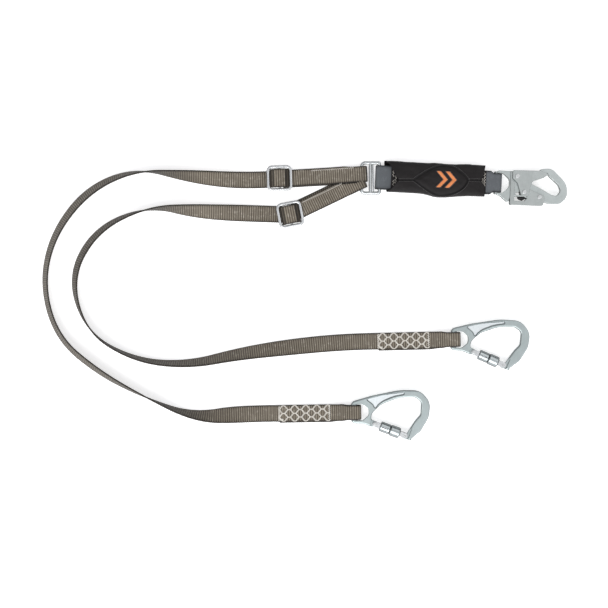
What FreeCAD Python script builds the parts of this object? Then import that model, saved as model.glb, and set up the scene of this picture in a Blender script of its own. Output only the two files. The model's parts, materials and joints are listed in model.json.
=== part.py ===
import FreeCAD, Part
import math
import os

# Twin-leg shock absorbing lanyard laid out flat on the ground, in millimetres.
# +X runs along the absorber towards the snap hook, +Z is up from the ground.
# The origin is on the ground at the middle of the hardware and the absorber.

# ---- driving dimensions ----
MID = 8.7                  # height of the plane in which ring, loops, hook and carabiners lie
GAP = 0.3                  # running clearance between pieces that move against each other
WEB_WIDTH = 26.0           # leg webbing
WEB_THICK = 2.4
PACK_WEB = 37.0            # absorber webbing
BAR = 5.0                  # ring wire diameter

RING_LEFT, RING_RIGHT = -86.5, -58.9
RING_TOP, RING_BOTTOM = 214.6, 167.6
RING_CENTRE_BAR = -72.9

PACK_PLACE = (-58.9, 191.8, -2.7)      # x, y and heading of the absorber
HOOK_PLACE = (124.4, 183.3, -2.2)
OUTER_STRAP = (RING_LEFT, 197.8, 3.3)
INNER_STRAP = (RING_LEFT, 186.8, 25.5)
OUTER_CARABINER = (-92.3, -173.0, 1.0)
INNER_CARABINER = (62.0, -59.7, -2.0)
OUTER_EYE = (-92.3, -173.0, 1.0)
INNER_EYE = (62.0, -59.7, 1.4)
OUTER_ADJUSTER = (-214.0, 191.0, 1.5)
INNER_ADJUSTER = (-197.4, 134.5, 11.0)

# Leg routes: x, y, z of the middle of the webbing and its roll in degrees (90 = on edge).
OUTER_LEG = [
    (-231.86, 189.42, 1.3, 0), (-273, 187.05, 1.3, 0), (-353, 194, 9.4, 42), (-437, 202, 13.1, 84),
    (-511, 171, 13.1, 90), (-564, 103, 13.1, 90), (-581, 25, 13.1, 90), (-558, -57, 13.1, 90),
    (-495, -110, 13.1, 90), (-425, -149, 13.1, 84), (-347, -181, 10.1, 45), (-270, -176.1, 1.3, 0),
    (-230.28, -175.41, 1.3, 0),
]
INNER_LEG = [
    (-197.4, 134.5, 1.3, 0), (-245, 136, 1.3, 0), (-336, 138, 7.3, 30), (-418, 146, 13.1, 86),
    (-498, 110, 13.1, 90), (-539, 36, 13.1, 90), (-512, -49, 13.1, 90), (-439, -93, 13.1, 88),
    (-357, -101, 11.6, 60), (-276, -84, 8.3, 34), (-196, -72, 4.4, 12), (-116, -64.05, 1.3, 0),
    (-75.96, -63.07, 1.3, 0),
]

UP = FreeCAD.Vector(0, 0, 1)


# ---- geometry helpers ----
def vec(x, y, z=0.0):
    return FreeCAD.Vector(x, y, z)


def corner(before, at, after, radius):
    """Start, middle and end of the arc of this radius that rounds a corner."""
    back = (before - at).normalize()
    ahead = (after - at).normalize()
    half = back.getAngle(ahead) / 2
    reach = radius / math.tan(half)
    inward = (back + ahead).normalize()
    middle = at + inward * (radius / math.sin(half) - radius)
    return at + back * reach, middle, at + ahead * reach


def rounded_wire(points, closed):
    """Straight runs joined by tangent arcs; each point is (vector, radius)."""
    places = [p for p, _ in points]
    count = len(points)
    trims = []
    for i, (place, radius) in enumerate(points):
        inner = closed or 0 < i < count - 1
        if inner and radius > 0:
            trims.append(corner(places[i - 1], place, places[(i + 1) % count], radius))
        else:
            trims.append((place, None, place))
    edges = []
    for i in range(count if closed else count - 1):
        start, end = trims[i][2], trims[(i + 1) % count][0]
        if (end - start).Length > 1e-4:
            edges.append(Part.LineSegment(start, end).toShape())
        arc = trims[(i + 1) % count]
        if arc[1] is not None and (closed or i + 1 < count - 1):
            edges.append(Part.Arc(*arc).toShape())
    return Part.Wire(edges)


def plate(outline, low, high):
    """Solid between two heights; the outline's points are (x, y, corner radius)."""
    wire = rounded_wire([(vec(x, y, low), r) for x, y, r in outline], True)
    return Part.Face(wire).extrude(vec(0, 0, high - low))


def box(x0, x1, y0, y1, z0, z1):
    return Part.makeBox(x1 - x0, y1 - y0, z1 - z0, vec(x0, y0, z0))


def rod(radius, start, end):
    along = end - start
    return Part.makeCylinder(radius, along.Length, start, along)


def pin(radius, x, y, low, high):
    return rod(radius, vec(x, y, low), vec(x, y, high))


def soften(shape, radius):
    """Round the horizontal edges."""
    edges = [e for e in shape.Edges if e.BoundBox.ZLength < 0.01]
    return shape.makeFillet(radius, edges)


def ribbon(path, width, thick=WEB_THICK):
    """Webbing whose middle follows an (x, z, radius) side profile, centred on y = 0."""
    points = [(vec(x, 0, z), r) for x, z, r in path]
    wire = rounded_wire(points, False)
    start = points[0][0]
    along = (points[1][0] - start).normalize()
    out = vec(0, 1, 0).cross(along) * (thick / 2)
    side = vec(0, width / 2, 0)
    section = Part.makePolygon([
        start + out + side, start - out + side, start - out - side, start + out - side,
        start + out + side])
    sweep = Part.BRepOffsetAPI.MakePipeShell(wire)
    sweep.setBiNormalMode(vec(0, 1, 0))
    sweep.add(section)
    sweep.build()
    sweep.makeSolid()
    return sweep.shape()


def coil(radius, wire, turns, pitch):
    """Spring along +Z from the origin, in half turns that each climb half a pitch."""
    halves = []
    for i in range(2 * turns):
        side = 1 if i % 2 == 0 else -1
        start = vec(side * radius, 0, i * pitch / 2)
        centre = vec(0, 0, (i + 0.5) * pitch / 2)
        section = Part.Face(Part.Wire(Part.makeCircle(wire / 2, start, vec(0, 1, 0))))
        axis = (start - centre).cross(vec(0, side, 0))
        halves.append(section.revolve(centre, axis, 180))
    return halves[0].fuse(halves[1:])


def put(shape, place, height=0.0):
    x, y, heading = place
    moved = shape.copy()
    moved.rotate(vec(0, 0, 0), UP, heading)
    moved.translate(vec(x, y, height))
    return moved


# ---- legs ----
def leg_route(points):
    """Middle points and directions along the runs and arcs of a leg, with the roll."""
    places = [vec(x, y, z) for x, y, z, _ in points]
    rolls = [p[3] for p in points]
    stations = [(places[0], (places[1] - places[0]).normalize(), rolls[0])]
    radii = []
    length = 0.0
    for i in range(1, len(points) - 1):
        back, ahead = places[i] - places[i - 1], places[i + 1] - places[i]
        turn = back.getAngle(ahead)
        radius = 0.45 * min(back.Length, ahead.Length) / math.tan(turn / 2)
        radii.append(radius)
        first, middle, last = corner(places[i - 1], places[i], places[i + 1], radius)
        arc = Part.Arc(first, middle, last)
        before = rolls[i] + (rolls[i - 1] - rolls[i]) * (first - places[i]).Length / back.Length
        after = rolls[i] + (rolls[i + 1] - rolls[i]) * (last - places[i]).Length / ahead.Length
        length += (first - stations[-1][0]).Length + radius * turn
        low, high = arc.FirstParameter, arc.LastParameter
        for step in range(5):
            part = step / 4
            at = low + (high - low) * part
            stations.append((arc.value(at), arc.tangent(at)[0], before + (after - before) * part))
    stations.append((places[-1], (places[-1] - places[-2]).normalize(), rolls[-1]))
    length += (stations[-1][0] - stations[-2][0]).Length
    return stations, radii, length


def leg_webbing(name, points):
    stations, radii, length = leg_route(points)
    sections = []
    for middle, along, roll in stations:
        level = UP.cross(along).normalize()
        angle = math.radians(roll)
        across = (level * math.cos(angle) - UP * math.sin(angle)).normalize()
        normal = along.cross(across).normalize()
        side, out = across * (WEB_WIDTH / 2), normal * (WEB_THICK / 2)
        centre = vec(middle.x, middle.y, abs(side.z) + abs(out.z) + 0.05)
        sections.append(Part.makePolygon([
            centre + side + out, centre - side + out, centre - side - out,
            centre + side - out, centre + side + out]))
    solid = Part.makeLoft(sections, True, True)
    print(name, "length", round(length), "radii", [round(r) for r in radii],
          "volume ratio", round(solid.Volume / (WEB_WIDTH * WEB_THICK * length), 3))
    return solid


LOW_PLY = WEB_THICK / 2 + 0.1
HIGH_PLY = LOW_PLY + WEB_THICK + 0.1


def sewn_eye():
    """Doubled end of a leg, round the bar of a carabiner eye at x = -5.5."""
    bend = CARABINER_BAR + GAP + WEB_THICK / 2
    tip = 4.2
    loop = ribbon([
        (-122, LOW_PLY, 0), (-40, LOW_PLY, 60), (-12, MID - bend, 30), (tip, MID - bend, bend),
        (tip, MID + bend, bend), (-12, MID + bend, 12), (-44, HIGH_PLY, 60),
        (-124, HIGH_PLY, 6), (-131, LOW_PLY, 6), (-138, LOW_PLY, 0)], WEB_WIDTH)
    narrow = CARABINER_HOLE - 1.1
    half = WEB_WIDTH / 2
    plan = plate([
        (-140, -half, 0), (-26, -half, 40), (-14, -narrow, 20), (8, -narrow, 3),
        (8, narrow, 3), (-14, narrow, 20), (-26, half, 40), (-140, half, 0)], -1, 20)
    return loop.common(plan)


def adjust_loop(reach, slack):
    """Doubled webbing from the ring's left bar at x = 0 back to an adjuster."""
    bend = BAR / 2 + 0.4 + WEB_THICK / 2
    tip = bend + slack
    return ribbon([
        (4 - reach, LOW_PLY, 0), (-44, LOW_PLY, 60), (-12, MID - bend, 30), (tip, MID - bend, bend),
        (tip, MID + bend, bend), (-12, MID + bend, 30), (-46, HIGH_PLY, 60),
        (2 - reach, HIGH_PLY, 8), (-8 - reach, LOW_PLY, 8), (-18.9 - reach, LOW_PLY, 0)],
        WEB_WIDTH)


def outer_adjust_loop():
    """The upper strap, a little narrower where it enters the ring's corner."""
    half = WEB_WIDTH / 2
    plan = plate([(-150, -half, 0), (12, -half, 0), (12, half - 1.6, 0), (-12, half - 1.6, 20),
                  (-30, half, 20), (-150, half, 0)], -1, 20)
    return put(adjust_loop(126.7, 2).common(plan), OUTER_STRAP)


def inner_adjust_loop():
    """The lower strap, bunched where it shares the ring's bar with the upper one."""
    loop = put(adjust_loop(119.7, -0.7), INNER_STRAP)
    x, y, heading = OUTER_STRAP
    drop = math.tan(math.radians(heading))
    edge = y - WEB_WIDTH / 2 / math.cos(math.radians(heading)) - GAP
    far = 200.0
    start = INNER_LEG[0]
    first = vec(*INNER_LEG[1][:2]) - vec(*start[:2])
    across = UP.cross(first).normalize() * 40
    keep = plate([
        (x + 30, edge + 30 * drop, 0), (x - 130, edge - 130 * drop, 0),
        (start[0] - across.x, start[1] - across.y, 0),
        (start[0] + across.x, start[1] + across.y, 0), (x + 30, y - far, 0)], -1, 30)
    return loop.common(keep)


# ---- ring ----
def connector_ring():
    half = BAR / 2
    left, right = RING_LEFT, RING_RIGHT
    low, high = MID - half, MID + half
    outside = plate([
        (left - half, RING_BOTTOM - half, 7), (right + half, RING_BOTTOM - half, 4),
        (right + half, RING_TOP + half, 4), (left - half, RING_TOP + half, 8)], low, high)
    inside = plate([
        (left + half, RING_BOTTOM + half, 3), (right - half, RING_BOTTOM + half, 1.5),
        (right - half, RING_TOP - half, 1.5), (left + half, RING_TOP - half, 3)], low - 1, high + 1)
    frame = soften(outside.cut(inside), half - 0.15)
    centre = rod(half, vec(RING_CENTRE_BAR, RING_BOTTOM, MID), vec(RING_CENTRE_BAR, RING_TOP, MID))
    brace = rod(1.1, vec(RING_CENTRE_BAR + 5.0, RING_BOTTOM, MID),
                vec(RING_CENTRE_BAR + 3.6, RING_TOP, MID))
    return frame.fuse([centre, brace]).removeSplitter()


# ---- adjusters ----
ADJ_SIZE, ADJ_BAR = 40.0, 4.5
ADJ_LOW = HIGH_PLY + WEB_THICK / 2 + GAP
ADJ_HIGH = ADJ_LOW + 4.2
ADJ_MID = (ADJ_LOW + ADJ_HIGH) / 2
ADJ_PIN = 2.1


def adjuster_frame():
    half = ADJ_SIZE / 2
    inner = half - ADJ_BAR

    def square(size, radius, low, high):
        return plate([(-size, -size, radius), (size, -size, radius),
                      (size, size, radius), (-size, size, radius)], low, high)
    frame = square(half, 8.5, ADJ_LOW, ADJ_HIGH).cut(square(inner, 4.5, ADJ_LOW - 1, ADJ_HIGH + 1))
    return soften(frame, 1.7)


def adjuster_bar():
    inner = ADJ_SIZE / 2 - ADJ_BAR
    return rod(ADJ_PIN, vec(0, -inner, ADJ_MID), vec(0, inner, ADJ_MID))


def adjuster_wrap():
    """Webbing that passes over the centre bar inside the frame."""
    foot = ADJ_LOW + WEB_THICK / 2
    crest = ADJ_MID + ADJ_PIN + GAP + WEB_THICK / 2
    reach = ADJ_SIZE / 2 - ADJ_BAR - 0.6
    return ribbon([(-reach, foot, 0), (-7.5, foot, 5), (-3.4, crest, 3), (3.4, crest, 3),
                   (7.5, foot, 5), (reach, foot, 0)], WEB_WIDTH)


# ---- shock absorber ----
COVER_START, COVER_END = 6.5, 164.0
COVER_TOP, COVER_BOTTOM = 26.2, -22.2
COVER_BULGE = -27.0
COVER_HIGH, COVER_LOW = 15.3, -MID
COVER_WALL = 1.4
HOOK_BAR_AT = 182.0
HOOK_BAR = 4.0


def cover_block(inset, past):
    start, end = COVER_START - past, COVER_END + past
    middle = (start + end) / 2
    top, bottom = COVER_TOP - inset, COVER_BOTTOM + inset
    bulge = COVER_BULGE + inset
    block = plate([
        (start, bottom, 0), (middle - 44, bottom, 30), (middle - 16, bulge, 40),
        (middle + 14, bulge, 60), (end, bottom, 0), (end, top, 0), (start, top, 0)],
        COVER_LOW + inset, COVER_HIGH - inset)
    along = [e for e in block.Edges
             if e.BoundBox.ZLength < 0.01 and e.BoundBox.XLength > 0.5]
    return block.makeFillet(5.0 - inset, along)


def absorber_cover():
    return cover_block(0, 0).cut(cover_block(COVER_WALL, 5))


def ring_loop():
    bend = BAR / 2 + 0.4 + WEB_THICK / 2
    tip = -bend - 1.2
    return ribbon([(40, -bend, 0), (tip, -bend, bend), (tip, bend, bend), (40, bend, 0)], PACK_WEB)


def hook_loop():
    bend = HOOK_BAR + GAP + WEB_THICK / 2
    tip = HOOK_BAR_AT + bend + 1.5
    inside = 132
    loop = ribbon([(inside, -bend, 0), (tip, -bend, bend), (tip, bend, bend), (inside, bend, 0)],
                  PACK_WEB - 1)
    half = PACK_WEB / 2
    narrow = HOOK_HOLE - GAP - 0.4
    plan = plate([
        (inside - 1, -half, 0), (HOOK_BAR_AT - 9, -half, 4), (HOOK_BAR_AT - 5, -narrow, 3),
        (tip + 2, -narrow, 2), (tip + 2, narrow, 2), (HOOK_BAR_AT - 5, narrow, 3),
        (HOOK_BAR_AT - 9, half, 4), (inside - 1, half, 0)], -20, 20)
    return loop.common(plan)


def tear_webbing():
    """Tear webbing folded into four layers between the two loops."""
    layers = 4
    pitch = WEB_THICK + 0.15
    left, right = 48, 124
    path = []
    for layer in range(layers):
        z = -5.0 + layer * pitch
        ends = (left, right) if layer % 2 == 0 else (right, left)
        first = 0 if layer == 0 else pitch / 2
        last = 0 if layer == layers - 1 else pitch / 2
        path += [(ends[0], z, first), (ends[1], z, last)]
    return ribbon(path, PACK_WEB - 4)


def backup_webbing():
    """Back-up strap folded once over the tear webbing."""
    return ribbon([(30, 8.3, 0), (146, 8.3, 1.3), (146, 10.9, 1.3), (30, 10.9, 0)], PACK_WEB - 4)


def cover_emblem():
    """Plain double chevron badge on the cover."""
    def chevron(x):
        return plate([(x, -11, 1), (x + 7, -11, 1), (x + 17, 0, 1), (x + 7, 11, 1),
                      (x, 11, 1), (x + 10, 0, 1)], COVER_HIGH, COVER_HIGH + 0.8)
    return Part.makeCompound([chevron(x) for x in (88.5, 101.5)])


# ---- snap hook ----
HOOK_THICK = 4.7                       # half thickness of the forging
LEVER_IN, LEVER_OUT = 5.0, 6.2         # lever plates, measured from the middle plane
GATE_IN, GATE_OUT = 6.5, 7.7           # gate plates
RIVET = 2.0
HEAD = 1.0
HOOK_HOLE = 15.4
GATE_PIVOT = (29.7, 11.4)
HEEL = (41.4, -13.0)
LEVER_PIVOT = (65.7, -19.7)


def hook_body():
    outline = plate([
        (-1.5, -19.4, 3.5), (3.5, -19.4, 1), (14.5, -28.6, 1.5), (17.4, -28.6, 1.5), (21, -20.2, 3),
        (41, -20.2, 3), (46, -22.5, 3), (58, -22.5, 20), (70, -26, 10), (80, -29.7, 12),
        (97, -29.7, 12), (108.6, -19, 16), (107.5, 2, 26), (83, 25.4, 14), (72, 24.4, 4),
        (65, 23, 2), (65, 17.4, 1), (76.3, 17.4, 1.2), (80, 12, 8), (94, 0, 12), (97.8, -9, 6),
        (92.5, -17.2, 5.5), (84, -15.6, 10), (66, -6, 10), (50, 1.5, 10), (38, 5, 5), (36.5, 17, 7),
        (22, 18.6, 6), (-1.5, 19.4, 3.5)], -HOOK_THICK, HOOK_THICK)
    eye = plate([(-6, -HOOK_HOLE, 3), (8, -HOOK_HOLE, 8), (18.5, -6, 10), (18.5, 6, 10),
                 (8, HOOK_HOLE, 8), (-6, HOOK_HOLE, 3)], -9, 9)
    solid = soften(outline, 0.9).cut(eye)
    bar = rod(HOOK_BAR, vec(-1.5, -17.5, 0), vec(-1.5, 17.5, 0))
    solid = solid.fuse(bar)
    radius = math.hypot(HEEL[0] - GATE_PIVOT[0], HEEL[1] - GATE_PIVOT[1])
    ring = pin(radius + RIVET + GAP, *GATE_PIVOT, -9, 9).cut(
        pin(radius - RIVET - GAP, *GATE_PIVOT, -9, 9))
    sector = plate([(*GATE_PIVOT, 0), (29.5, -26, 0), (HEEL[0], -26, 0), (HEEL[0], HEEL[1], 0)], -9, 9)
    slot = ring.common(sector)
    ends = [pin(RIVET + GAP, x, y, -9, 9) for x, y in (HEEL, (30.4, -15.65))]
    holes = [pin(RIVET, *GATE_PIVOT, -9, 9), pin(RIVET, *LEVER_PIVOT, -9, 9)]
    pocket = pin(5.2, *GATE_PIVOT, -2.6, 2.6).fuse(box(28, 34, 11.4, 20, -2.6, 2.6))
    return solid.cut([slot, *ends, *holes, pocket]).removeSplitter()


def hook_gate():
    outline = [
        (22.6, 20.3, 2), (66, 20.6, 3), (78.3, 15.6, 1.2), (72, 11, 3), (54, 4.5, 8),
        (49.6, -6, 8), (48.4, -20, 5), (37, -20, 5.5), (32.4, -6, 6), (30, 1, 6),
        (22.6, 8, 3)]
    web = box(37, 63, 19.0, 20.3, -GATE_IN, GATE_IN)
    plates = [plate(outline, GATE_IN, GATE_OUT), plate(outline, -GATE_OUT, -GATE_IN)]
    nib = box(45, 62, 17.4, 19.0, -3.5, 3.5)
    solid = plates[0].fuse([plates[1], web, nib])
    holes = [pin(RIVET + 0.04, *GATE_PIVOT, -9, 9), pin(RIVET, *HEEL, -9, 9)]
    return solid.cut(holes).removeSplitter()


def hook_lever():
    outline = [
        (19.7, 19.2, 1), (22.3, 19.2, 1), (22.3, 4, 2), (26.2, 2, 3), (26.2, -27, 1.5),
        (42, -27, 1.5), (45.8, -22.9, 1.5), (45.8, -9, 3), (51, -9, 4), (72.4, -18, 3), (73.2, -22, 2),
        (71, -33, 2), (19.7, -33, 1.5)]
    plates = [plate(outline, LEVER_IN, LEVER_OUT), plate(outline, -LEVER_OUT, -LEVER_IN)]
    web = box(22, 70, -33, -31.6, -LEVER_OUT, LEVER_OUT)
    solid = plates[0].fuse([plates[1], web])
    return solid.cut(pin(RIVET + 0.04, *LEVER_PIVOT, -9, 9)).removeSplitter()


def rivet(x, y, radius, grip, head):
    """Rivet through the middle plane with a domed head on each end."""
    shank = pin(radius, x, y, -grip, grip)
    heads = []
    for sign in (-1, 1):
        dome = pin(radius + 1.5, x, y, grip, grip + head) if sign > 0 else pin(
            radius + 1.5, x, y, -grip - head, -grip)
        face = [e for e in dome.Edges if abs(abs(e.BoundBox.ZMin) - grip - head) < 0.01
                and e.BoundBox.ZLength < 0.01]
        heads.append(dome.makeFillet(head * 0.8, face))
    return shank.fuse(heads).removeSplitter()


def gate_spring():
    spring = coil(3.4, 1.0, 3, 1.25)
    spring.translate(vec(*GATE_PIVOT, -1.9))
    return spring


def lever_spring():
    spring = coil(3.2, 0.9, 4, 1.85)
    spring.rotate(vec(0, 0, 0), vec(1, 0, 0), 90)
    spring.translate(vec(52, -23.1, 0))
    return spring


# ---- carabiners ----
CARABINER_BAR = 4.5
CARABINER_HOLE = 12.6
CARABINER_HALF = 5.0                   # half thickness of the forging
SPINE_RECESS = 1.6
CHEEK_IN, CHEEK_OUT = 2.8, 6.2
TONGUE = 2.5
HINGE = (26.3, -18.6)
GATE_HEADING = -21.6
GATE_LENGTH = 49.4
GATE_CORE = 4.4
HOUSING = 8.0
SLEEVE = 8.7
LATCH = 1.5


def along_gate(shape):
    """Move a shape from gate axes (x along the gate, origin at the hinge) to the carabiner."""
    return put(shape, (*HINGE, GATE_HEADING))


def carabiner_body():
    outline = plate([
        (-10, -16.8, 6), (8, -17.6, 10), (21, -22.5, 4), (27, -22.5, 3), (27, -13.5, 3),
        (20.6, -12, 4), (21, -2, 12), (36, 11.5, 30), (64, 21.8, 60), (88, 22.4, 12),
        (98.6, 15.5, 9), (97.3, -5, 8), (88.5, -14.5, 6), (77.5, -31, 3), (72.5, -41.8, 1.5),
        (79.5, -44.2, 3.5), (97, -30.5, 14), (110, -9, 30), (113, 14, 24), (97, 32.5, 22),
        (66, 33.6, 80), (22, 25.5, 60), (-10, 16.8, 7)], -CARABINER_HALF, CARABINER_HALF)
    eye = plate([(-12, -CARABINER_HOLE, 3), (8, -CARABINER_HOLE, 7), (16.9, -5, 8),
                 (16.9, 6, 8), (8, CARABINER_HOLE, 7), (-12, CARABINER_HOLE, 3)], -9, 9)
    solid = soften(outline, 2.2).cut(eye)
    bar = rod(CARABINER_BAR, vec(-5.5, -14.5, 0), vec(-5.5, 14.5, 0))
    solid = solid.fuse(bar)
    tang = pin(4.6, *HINGE, -TONGUE, TONGUE)
    tongue = along_gate(plate([(45.5, -5.5, 3), (62, -4, 0), (58, 6.5, 0), (45.5, 4.2, 2)],
                              -TONGUE, TONGUE))
    relief = []
    for low, high in ((TONGUE, 9), (-9, -TONGUE)):
        relief.append(pin(7.4, *HINGE, low, high))
        relief.append(along_gate(box(0, 46, -9.3, 9.3, low, high)))
        relief.append(along_gate(pin(6.8, GATE_LENGTH, 0, low, high)))
        relief.append(along_gate(box(40, 56, 0, 12, low, high)))
    middle = along_gate(box(5.4, 44.5, -9.3, 9.3, -9, 9))
    latch = along_gate(pin(LATCH + 0.35, GATE_LENGTH, 0, -9, 9))
    notch = along_gate(box(GATE_LENGTH - LATCH - 0.4, GATE_LENGTH + LATCH + 0.4, 0, 9, -9, 9))
    hole = pin(1.7, *HINGE, -9, 9)
    solid = solid.cut([*relief, middle]).fuse([tang, tongue])
    return solid.cut([latch, notch, hole, *spine_recesses()]).removeSplitter()


def spine_recesses():
    """Pockets with sloping sides that leave the spine as a thinner web, one on each face."""
    panel = [
        (11.5, 20.6, 2), (36, 26.8, 60), (73, 31.2, 1.6), (73, 26.4, 1.6), (56, 23.4, 40),
        (39, 16.6, 25), (31.5, 10.5, 5), (27, 4, 2), (22.5, 12, 12)]
    face = CARABINER_HALF - SPINE_RECESS
    pocket = plate(panel, face, CARABINER_HALF + 1)
    floor = [e for e in pocket.Edges if abs(e.BoundBox.ZMax - face) < 0.01]
    pocket = pocket.makeChamfer(SPINE_RECESS - 0.2, floor)
    return [pocket, pocket.mirror(vec(0, 0, 0), UP)]


def gate_core():
    """Rod of the gate with a fork at the hinge and another at the latch."""
    core = rod(GATE_CORE, vec(6.5, 0, 0), vec(43, 0, 0))
    cheeks = []
    for low, high in ((CHEEK_IN, CHEEK_OUT), (-CHEEK_OUT, -CHEEK_IN)):
        cheeks.append(pin(4.2, 0, 0, low, high))
        cheeks.append(box(0, 8.5, -4.2, 4.2, low, high))
        cheeks.append(pin(4.2, GATE_LENGTH, 0, low, high))
        cheeks.append(box(41, GATE_LENGTH, -4.2, 4.2, low, high))
    solid = core.fuse(cheeks)
    bore = rod(2.4, vec(5, 0, 0), vec(28, 0, 0))
    holes = [pin(1.74, 0, 0, -9, 9), pin(LATCH, GATE_LENGTH, 0, -9, 9)]
    return solid.cut([bore, *holes]).removeSplitter()


def gate_housing():
    """Barrel fixed on the gate behind the twisting sleeve."""
    solid = rod(HOUSING, vec(8.6, 0, 0), vec(24.5, 0, 0))
    rims = [e for e in solid.Edges if e.Curve.TypeId == "Part::GeomCircle"]
    solid = solid.makeChamfer(1.0, rims)
    slots = [box(11, 21, -0.9, 0.9, low, low + 5) for low in (4.0, -9.0)]
    return solid.cut([rod(GATE_CORE, vec(0, 0, 0), vec(30, 0, 0)), *slots])


def lock_sleeve():
    solid = rod(SLEEVE, vec(24.9, 0, 0), vec(40.8, 0, 0))
    rims = [e for e in solid.Edges if e.Curve.TypeId == "Part::GeomCircle"]
    solid = solid.makeChamfer(1.4, rims)
    bore = rod(GATE_CORE + GAP, vec(20, 0, 0), vec(45, 0, 0))
    pocket = rod(7.0, vec(24, 0, 0), vec(34, 0, 0))
    return solid.cut([bore, pocket])


def along_x(shape, start):
    """Turn a piece built along +Z to lie along +X from start."""
    turned = shape.copy()
    turned.rotate(vec(0, 0, 0), vec(0, 1, 0), 90)
    turned.translate(vec(start, 0, 0))
    return turned


def gate_plunger():
    solid = rod(2.2, vec(5.6, 0, 0), vec(12, 0, 0))
    return solid.cut(rod(1.2, vec(8, 0, 0), vec(13, 0, 0)))


def plunger_spring():
    return along_x(coil(1.7, 0.6, 9, 1.6), 12.5)


def sleeve_spring():
    return along_x(coil(5.9, 0.9, 5, 1.5), 25.6)


# ---- nodes ----
def nodes():
    made = {
        "connector_ring": connector_ring(),
        "outer_leg_webbing": leg_webbing("outer leg", OUTER_LEG),
        "inner_leg_webbing": leg_webbing("inner leg", INNER_LEG),
        "outer_adjust_loop": outer_adjust_loop(),
        "inner_adjust_loop": inner_adjust_loop(),
        "outer_sewn_eye": put(sewn_eye(), OUTER_EYE),
        "inner_sewn_eye": put(sewn_eye(), INNER_EYE),
    }
    for name, make in (
            ("absorber_cover", absorber_cover), ("ring_loop_webbing", ring_loop),
            ("hook_loop_webbing", hook_loop), ("tear_webbing_pack", tear_webbing),
            ("backup_webbing", backup_webbing), ("cover_emblem", cover_emblem)):
        made[name] = put(make(), PACK_PLACE, MID)
    for name, shape in (
            ("hook_body", hook_body()), ("hook_gate", hook_gate()),
            ("hook_lock_lever", hook_lever()),
            ("hook_gate_rivet", rivet(*GATE_PIVOT, RIVET, GATE_OUT, HEAD)),
            ("hook_heel_pin", rivet(*HEEL, RIVET, GATE_OUT, HEAD)),
            ("hook_lever_rivet", rivet(*LEVER_PIVOT, RIVET, LEVER_OUT, HEAD)),
            ("hook_gate_spring", gate_spring()), ("hook_lever_spring", lever_spring())):
        made[name] = put(shape, HOOK_PLACE, MID)
    for side, place in (("outer", OUTER_ADJUSTER), ("inner", INNER_ADJUSTER)):
        made[side + "_adjuster_frame"] = put(adjuster_frame(), place)
        made[side + "_adjuster_bar"] = put(adjuster_bar(), place)
        made[side + "_adjuster_wrap"] = put(adjuster_wrap(), place)
    gate_pieces = {
        "gate_core": gate_core(), "gate_housing": gate_housing(), "lock_sleeve": lock_sleeve(),
        "gate_plunger": gate_plunger(), "gate_spring": plunger_spring(),
        "sleeve_spring": sleeve_spring(),
        "latch_pin": rod(LATCH, vec(GATE_LENGTH, 0, -CHEEK_OUT), vec(GATE_LENGTH, 0, CHEEK_OUT)),
    }
    body = carabiner_body()
    hinge = rivet(*HINGE, 1.7, CHEEK_OUT, 0.8)
    for side, place in (("outer", OUTER_CARABINER), ("inner", INNER_CARABINER)):
        made[side + "_carabiner_body"] = put(body, place, MID)
        made[side + "_hinge_rivet"] = put(hinge, place, MID)
        for name, shape in gate_pieces.items():
            made[side + "_" + name] = put(along_gate(shape), place, MID)
    return made


os.makedirs("parts", exist_ok=True)
for name, shape in nodes().items():
    if not shape.isValid() or shape.Volume <= 0:
        print("bad shape", name)
    shape.exportStep("parts/" + name + ".step")
    limits = shape.BoundBox
    print(name, len(shape.Solids), "solids",
          [round(v, 1) for v in (limits.XMin, limits.XMax, limits.YMin, limits.YMax,
                                 limits.ZMin, limits.ZMax)], round(shape.Volume))
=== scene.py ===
import json
import math

import bmesh
import bpy
import numpy as np
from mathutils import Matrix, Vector, noise


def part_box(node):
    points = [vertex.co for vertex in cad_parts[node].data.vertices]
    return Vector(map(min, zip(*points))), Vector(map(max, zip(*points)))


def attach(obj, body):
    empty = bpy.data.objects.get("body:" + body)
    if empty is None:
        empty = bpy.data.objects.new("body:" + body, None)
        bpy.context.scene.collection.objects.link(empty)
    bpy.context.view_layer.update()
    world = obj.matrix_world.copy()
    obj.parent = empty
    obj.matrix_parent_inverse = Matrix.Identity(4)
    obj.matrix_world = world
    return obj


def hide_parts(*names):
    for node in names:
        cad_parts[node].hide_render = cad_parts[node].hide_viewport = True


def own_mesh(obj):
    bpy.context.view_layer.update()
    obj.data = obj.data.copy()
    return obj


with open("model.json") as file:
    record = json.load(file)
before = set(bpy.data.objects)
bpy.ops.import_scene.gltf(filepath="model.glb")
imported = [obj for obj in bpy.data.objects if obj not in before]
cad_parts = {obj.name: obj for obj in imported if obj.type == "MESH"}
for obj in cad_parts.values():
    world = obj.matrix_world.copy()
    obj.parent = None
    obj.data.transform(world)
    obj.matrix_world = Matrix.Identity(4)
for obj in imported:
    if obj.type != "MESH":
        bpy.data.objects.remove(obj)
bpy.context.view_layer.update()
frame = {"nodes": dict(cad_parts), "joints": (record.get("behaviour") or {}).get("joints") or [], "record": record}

JOINTS = {joint["name"]: joint for joint in frame["joints"]}
MM = 0.001
UP = np.array([0.0, 0.0, 1.0])

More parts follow.
